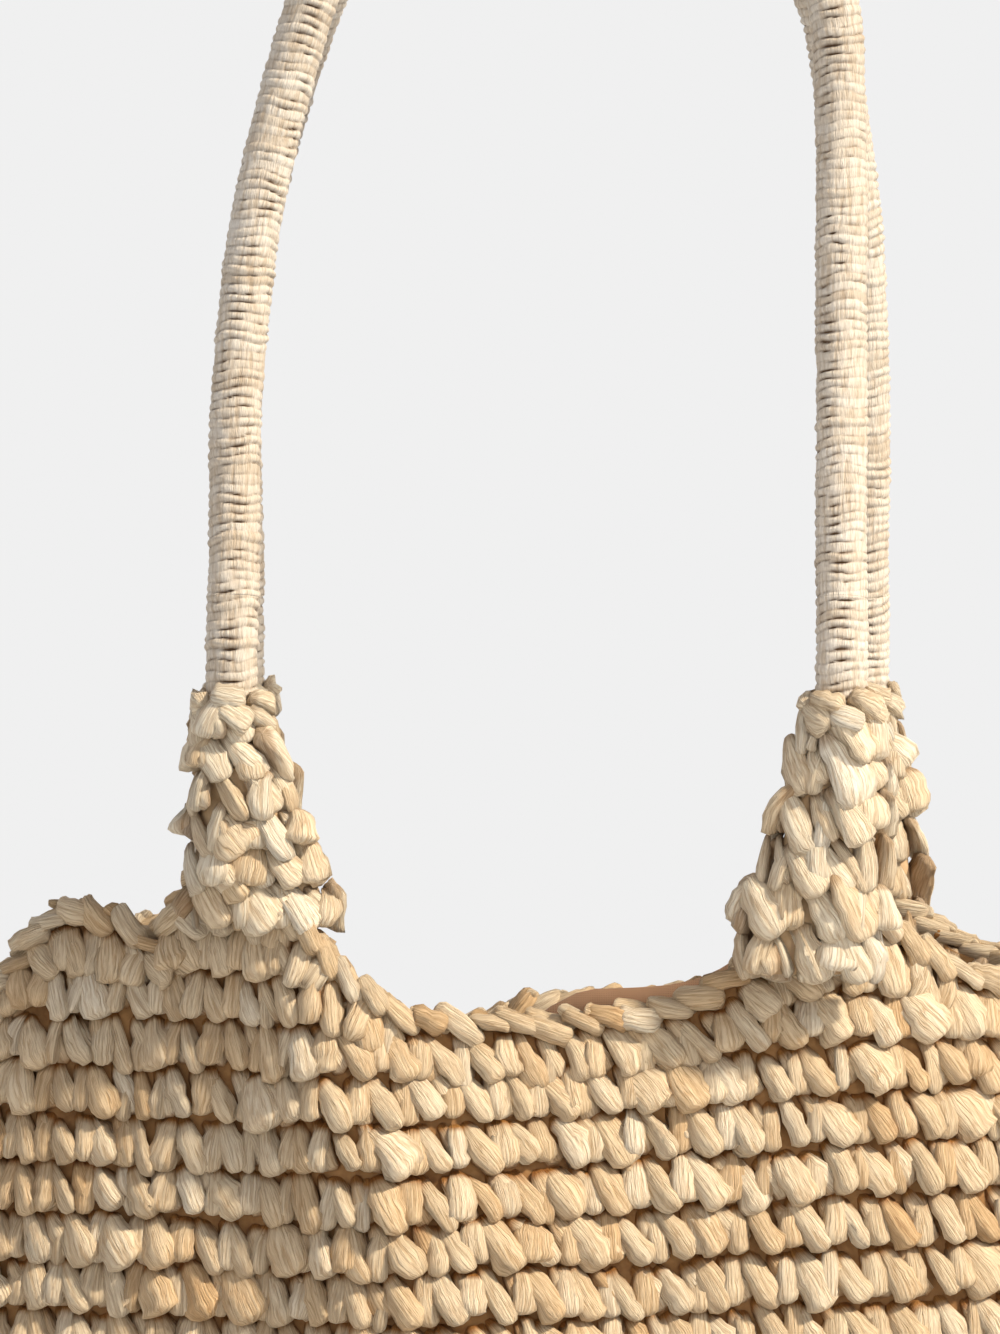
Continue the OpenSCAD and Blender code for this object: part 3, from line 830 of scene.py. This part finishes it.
POCKET_ANGLES = (56, 124)
POCKET_LEVELS = (0.42, 0.80)


def pocket():
    """The slip pocket on the lining's back wall, with a turned hem along its top."""
    columns, rows = 60, 24
    a = np.linspace(*POCKET_ANGLES, columns)[None, :]
    t = np.linspace(*POCKET_LEVELS, rows)[:, None]
    inset = 10.0 * MM + 0.8 * MM * np.sin(np.radians(a * 9)) * smooth((t - 0.5) / 0.3)
    hem = 0.7 * MM * plateau(t, 0.755, 0.805, 0.006)
    outer = wall(a, t, inset)
    inner = wall(a, t, inset + 1.0 * MM + hem)
    loop = np.concatenate([outer, inner[::-1], outer[:1]])
    quads = grid_quads(len(loop), columns, wrap=False)
    add_piece("pocket_patch", loop, quads, COTTON, "lining_pocket")


# ---------------------------------------------------------------- handles
RIB = 2.4 * MM       # one turn of the winding, along the handle
RING_SIDES = 32
SMOOTHING = 15       # points averaged, to soften where straights and arcs meet


def handle_line(side):
    """The handle's centre line, from inside its left horn over the top to inside its right horn."""
    half = ROOT_X[side]
    left_r, right_r = LEFT_ARC[side], RIGHT_ARC[side]
    left_turn, right_turn = math.asin((STRAND_H - LEFT_STRAIGHT) / left_r), RIGHT_TURN[side]
    left_drift = left_r * (1 - math.cos(left_turn))
    right_drift = right_r * (1 - math.cos(right_turn))
    top_r = (2 * half - left_drift - right_drift) / (math.cos(left_turn) + math.cos(right_turn))
    top_z = STRAND_H - top_r * math.sin(left_turn)
    right_straight = top_z + (top_r - right_r) * math.sin(right_turn)
    step = RIB / 7
    spots = []
    tail = 10 * MM + (PIVOT_Z - HORN_TOP)
    for d in np.arange(-tail, BEND + LEFT_STRAIGHT, step):
        spots.append((-half, d))
    for angle in np.arange(0, left_turn, step / left_r):
        spots.append((left_r - half - left_r * math.cos(angle),
                      BEND + LEFT_STRAIGHT + left_r * math.sin(angle)))
    top_x = left_drift - half + top_r * math.cos(left_turn)
    for angle in np.arange(math.pi - left_turn, right_turn, -step / top_r):
        spots.append((top_x + top_r * math.cos(angle), BEND + top_z + top_r * math.sin(angle)))
    for angle in np.arange(right_turn, 0, -step / right_r):
        spots.append((half - right_r + right_r * math.cos(angle),
                      BEND + right_straight + right_r * math.sin(angle)))
    for d in np.arange(BEND + right_straight, -tail, -step):
        spots.append((half, d))
    x, d = np.array(spots).T
    above = np.clip(d, 0, None)
    below = np.clip(d, None, 0)
    y = SIDE[side] * (ROOT_Y - above * math.sin(LEAN))
    z = PIVOT_Z + above * math.cos(LEAN) + below
    line = np.stack([x, y, z], 1)
    kernel = np.ones(SMOOTHING) / SMOOTHING
    kept = SMOOTHING // 2
    line[kept:-kept] = np.stack([np.convolve(line[:, i], kernel, "valid") for i in range(3)], 1)
    return line, d


def wrapped_tube(name, line, travelled, radius):
    """A tube wound with cord: a helix of ribs, with deeper slits where the turns cross."""
    along = unit(np.gradient(line, axis=0))
    side_axis = unit(np.cross(along, [0.0, 1.0, 0.0]))
    other = unit(np.cross(side_axis, along))
    phi = np.linspace(0, 2 * np.pi, RING_SIDES, endpoint=False)[None, :]
    s = travelled[:, None]
    wave = 0.10 * np.sin(s / (3.1 * MM) + 2 * phi) + 0.13 * np.sin(s / (7.3 * MM) - 3 * phi)
    turns = s / RIB + phi / (2 * np.pi) + wave
    number = np.floor(turns).astype(int) + 1
    count = number.max() + 2
    across = np.abs(np.sin(np.pi * turns))
    groove = 1 - across ** 0.6
    # Each groove opens into short deeper slits here and there, more of them along three sides, and grooves
    # and slits get painted shade.
    patches = 20
    chance = rng.random((count, patches)) ** 3
    place = (phi / (2 * np.pi) * patches) % patches
    here, share = np.floor(place).astype(int), smooth(place - np.floor(place))
    slit = chance[number, here] * (1 - share) + chance[number, (here + 1) % patches] * share
    wander = 0.4 * np.sin(s / (40 * MM)) + 0.25 * np.sin(s / (13 * MM))
    columns = sum(np.exp(-((np.mod(phi - middle - wander + np.pi, 2 * np.pi) - np.pi) / 0.5) ** 2)
                  for middle in (0.9, 2.5, 4.4))
    slit = np.clip(slit * (0.5 + 1.1 * columns), 0, 1)
    proud = rng.normal(0, 0.16 * MM, count)[number]
    uneven = 0.15 * MM * np.sin(s / (9 * MM) + 3 * phi)
    r = radius - groove * (0.30 + 1.25 * slit) * MM + proud * across + uneven
    points = (line[:, None, :] + (r * np.cos(phi))[..., None] * side_axis[:, None, :]
              + (r * np.sin(phi))[..., None] * other[:, None, :])
    tone = np.clip(rng.normal(0.5, 0.2, count), 0, 1)[number]
    # The look's second value darkens the grooves, and the slits more: painted shade.
    look = np.stack([tone, 1 - groove * (0.35 + 1.3 * slit), turns * 0.31], -1)
    around = np.stack(np.broadcast_arrays(np.cos(phi), np.sin(phi), 0 * s), -1)
    caps = []
    for end in (0, -1):
        centre = line[end]
        caps.append(centre + 0.05 * (points[end] - centre))
    points = np.concatenate([caps[:1], points, caps[1:]])
    look = np.concatenate([look[:1], look, look[-1:]])
    around = np.concatenate([around[:1], around, around[-1:]])
    quads = grid_quads(len(points), RING_SIDES, flip=True)
    return add_mesh(name, points, quads, CORD, {"look": look, "around": around})


def handle(side):
    """A handle's winding, in three lengths: two that bend at the horns, and the long one between."""
    line, d = handle_line(side)
    travelled = np.concatenate([[0], np.cumsum(np.linalg.norm(np.diff(line, axis=0), axis=1))])
    split = BEND / 2
    middle = len(d) // 2
    left = np.flatnonzero(d[:middle] <= split)[-1]
    right = middle + np.flatnonzero(d[middle:] <= split)[0]
    for hand, part in (("left", slice(0, left + 1)), ("right", slice(right, None))):
        piece = wrapped_tube(f"{side}_wrap_{hand}_root", line[part], travelled[part], WRAP_R)
        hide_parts(f"root_wrap_{side}", f"bend_wrap_{side}")
        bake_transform(piece)
    piece = wrapped_tube(f"{side}_wrap_long", line[left:right + 1], travelled[left:right + 1], WRAP_R)
    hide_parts(f"handle_wrap_{side}")
    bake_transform(piece)


# ---------------------------------------------------------------- carried-over CAD pieces
def finish_cad_nodes():
    """New materials for the CAD's own rope, board and snap."""
    looks = {"rope": ROPE, "board": BOARD, "snap": NICKEL}
    for part in frame["record"]["subparts"]:
        material = looks.get(part["material_slot"])
        if material is None:
            continue
        for slot in frame["nodes"][part["node"]].material_slots:
            slot.material = material


# ---------------------------------------------------------------- studio
PALE = 0.871         # brightness of the even backdrop
SUN_TURN = 67        # degrees to the right of the front
SUN_HEIGHT = 42


def pale_glow(nodes):
    """The output of an even pale emission."""
    glow = nodes.new("ShaderNodeEmission")
    glow.inputs["Color"].default_value = (PALE, PALE, PALE, 1)
    return glow.outputs["Emission"]


def floor_material():
    """Matt grey under the bag, which fades into the backdrop's glow further out."""
    material, nodes, links, shader = new_material("floor")
    shader.inputs["Base Color"].default_value = (0.60, 0.61, 0.63, 1)
    shader.inputs["Roughness"].default_value = 0.9
    place = nodes.new("ShaderNodeTexCoord")
    distance = nodes.new("ShaderNodeVectorMath")
    distance.operation = "LENGTH"
    links.new(place.outputs["Object"], distance.inputs[0])
    fade = nodes.new("ShaderNodeMapRange")
    fade.interpolation_type = "SMOOTHSTEP"
    fade.inputs["From Min"].default_value = 0.35
    fade.inputs["From Max"].default_value = 1.3
    links.new(distance.outputs["Value"], fade.inputs["Value"])
    both = nodes.new("ShaderNodeMixShader")
    links.new(fade.outputs["Result"], both.inputs["Fac"])
    links.new(shader.outputs["BSDF"], both.inputs[1])
    links.new(pale_glow(nodes), both.inputs[2])
    links.new(both.outputs["Shader"], nodes["Material Output"].inputs["Surface"])
    return material


def backdrop_material():
    """The glow alone."""
    material, nodes, links, _ = new_material("backdrop")
    links.new(pale_glow(nodes), nodes["Material Output"].inputs["Surface"])
    return material


def add_lamp(name, kind, place, aim, power, colour):
    """A lamp at this place, turned to its aim. Returns its data."""
    data = bpy.data.lights.new(name, kind)
    data.energy = power
    data.color = colour
    lamp = bpy.data.objects.new(name, data)
    bpy.context.collection.objects.link(lamp)
    lamp.location = place
    lamp.rotation_mode = "QUATERNION"
    lamp.rotation_quaternion = (Vector(aim) - Vector(place)).to_track_quat("-Z", "Y")
    return data


def add_sun(name, turn, height, strength, colour, softness):
    """A sun at this turn to the right of the front and this height, and as wide, all in degrees."""
    towards = direction(math.radians(turn), math.radians(height))
    data = add_lamp(name, "SUN", towards * 2, (0, 0, 0), strength, colour)
    data.angle = math.radians(softness)


def add_spot(name, place, aim, power, colour, cone):
    """A soft spotlight of this cone angle in degrees."""
    data = add_lamp(name, "SPOT", place, aim, power, colour)
    data.spot_size = math.radians(cone)
    data.spot_blend = 1.0
    data.shadow_soft_size = 0.15


def studio():
    """A floor that fades into a pale backdrop, a cool sky, a warm sun from the upper right, two
    soft weak ones, and a spotlight on the right horns."""
    world = bpy.data.worlds.new("studio")
    bpy.context.scene.world = world
    world.use_nodes = True
    background = world.node_tree.nodes["Background"]
    background.inputs["Color"].default_value = (0.83, 0.85, 1.0, 1)
    background.inputs["Strength"].default_value = 0.325
    columns = 64
    a = np.linspace(0, 2 * np.pi, columns, endpoint=False)
    rings = np.array([0.0001, 0.5, 2.0, 12.0])[:, None]
    disc = np.stack(np.broadcast_arrays(rings * np.cos(a), rings * np.sin(a), 0 * a), -1)
    floor = add_mesh("floor", disc, grid_quads(len(disc), columns), floor_material())
    tilt = np.linspace(-0.2, np.pi / 2 - 0.001, 12)[:, None]
    dome_shape = 11 * np.stack(np.broadcast_arrays(
        np.cos(tilt) * np.cos(a), np.cos(tilt) * np.sin(a), np.sin(tilt)), -1)
    dome = add_mesh("backdrop", dome_shape, grid_quads(len(dome_shape), columns), backdrop_material())
    for kind in ("diffuse", "glossy", "transmission", "shadow", "volume_scatter"):
        setattr(dome, "visible_" + kind, False)
    add_sun("key", SUN_TURN, SUN_HEIGHT, 4.85, (1.0, 0.89, 0.74), 6)
    add_sun("soft_front", -10, 35, 0.35, (1.0, 0.97, 0.93), 60)
    add_sun("soft_back", 215, 40, 0.9, (1.0, 0.96, 0.9), 60)
    add_spot("right_glow", (0.5, -0.9, 0.5), (0.085, -0.03, 0.35), 22, (1.0, 0.94, 0.88), 18)
    bpy.context.scene.view_settings.view_transform = "Standard"


make_camera()
body_stitches()
backing()
inner_round()
for side in SIDE:
    for hand in HAND:
        horn(side, hand)
        binding(side, hand)
edging()
base_stitches()
base_backing()
lining()
pocket()
for side in SIDE:
    handle(side)
finish_cad_nodes()
studio()
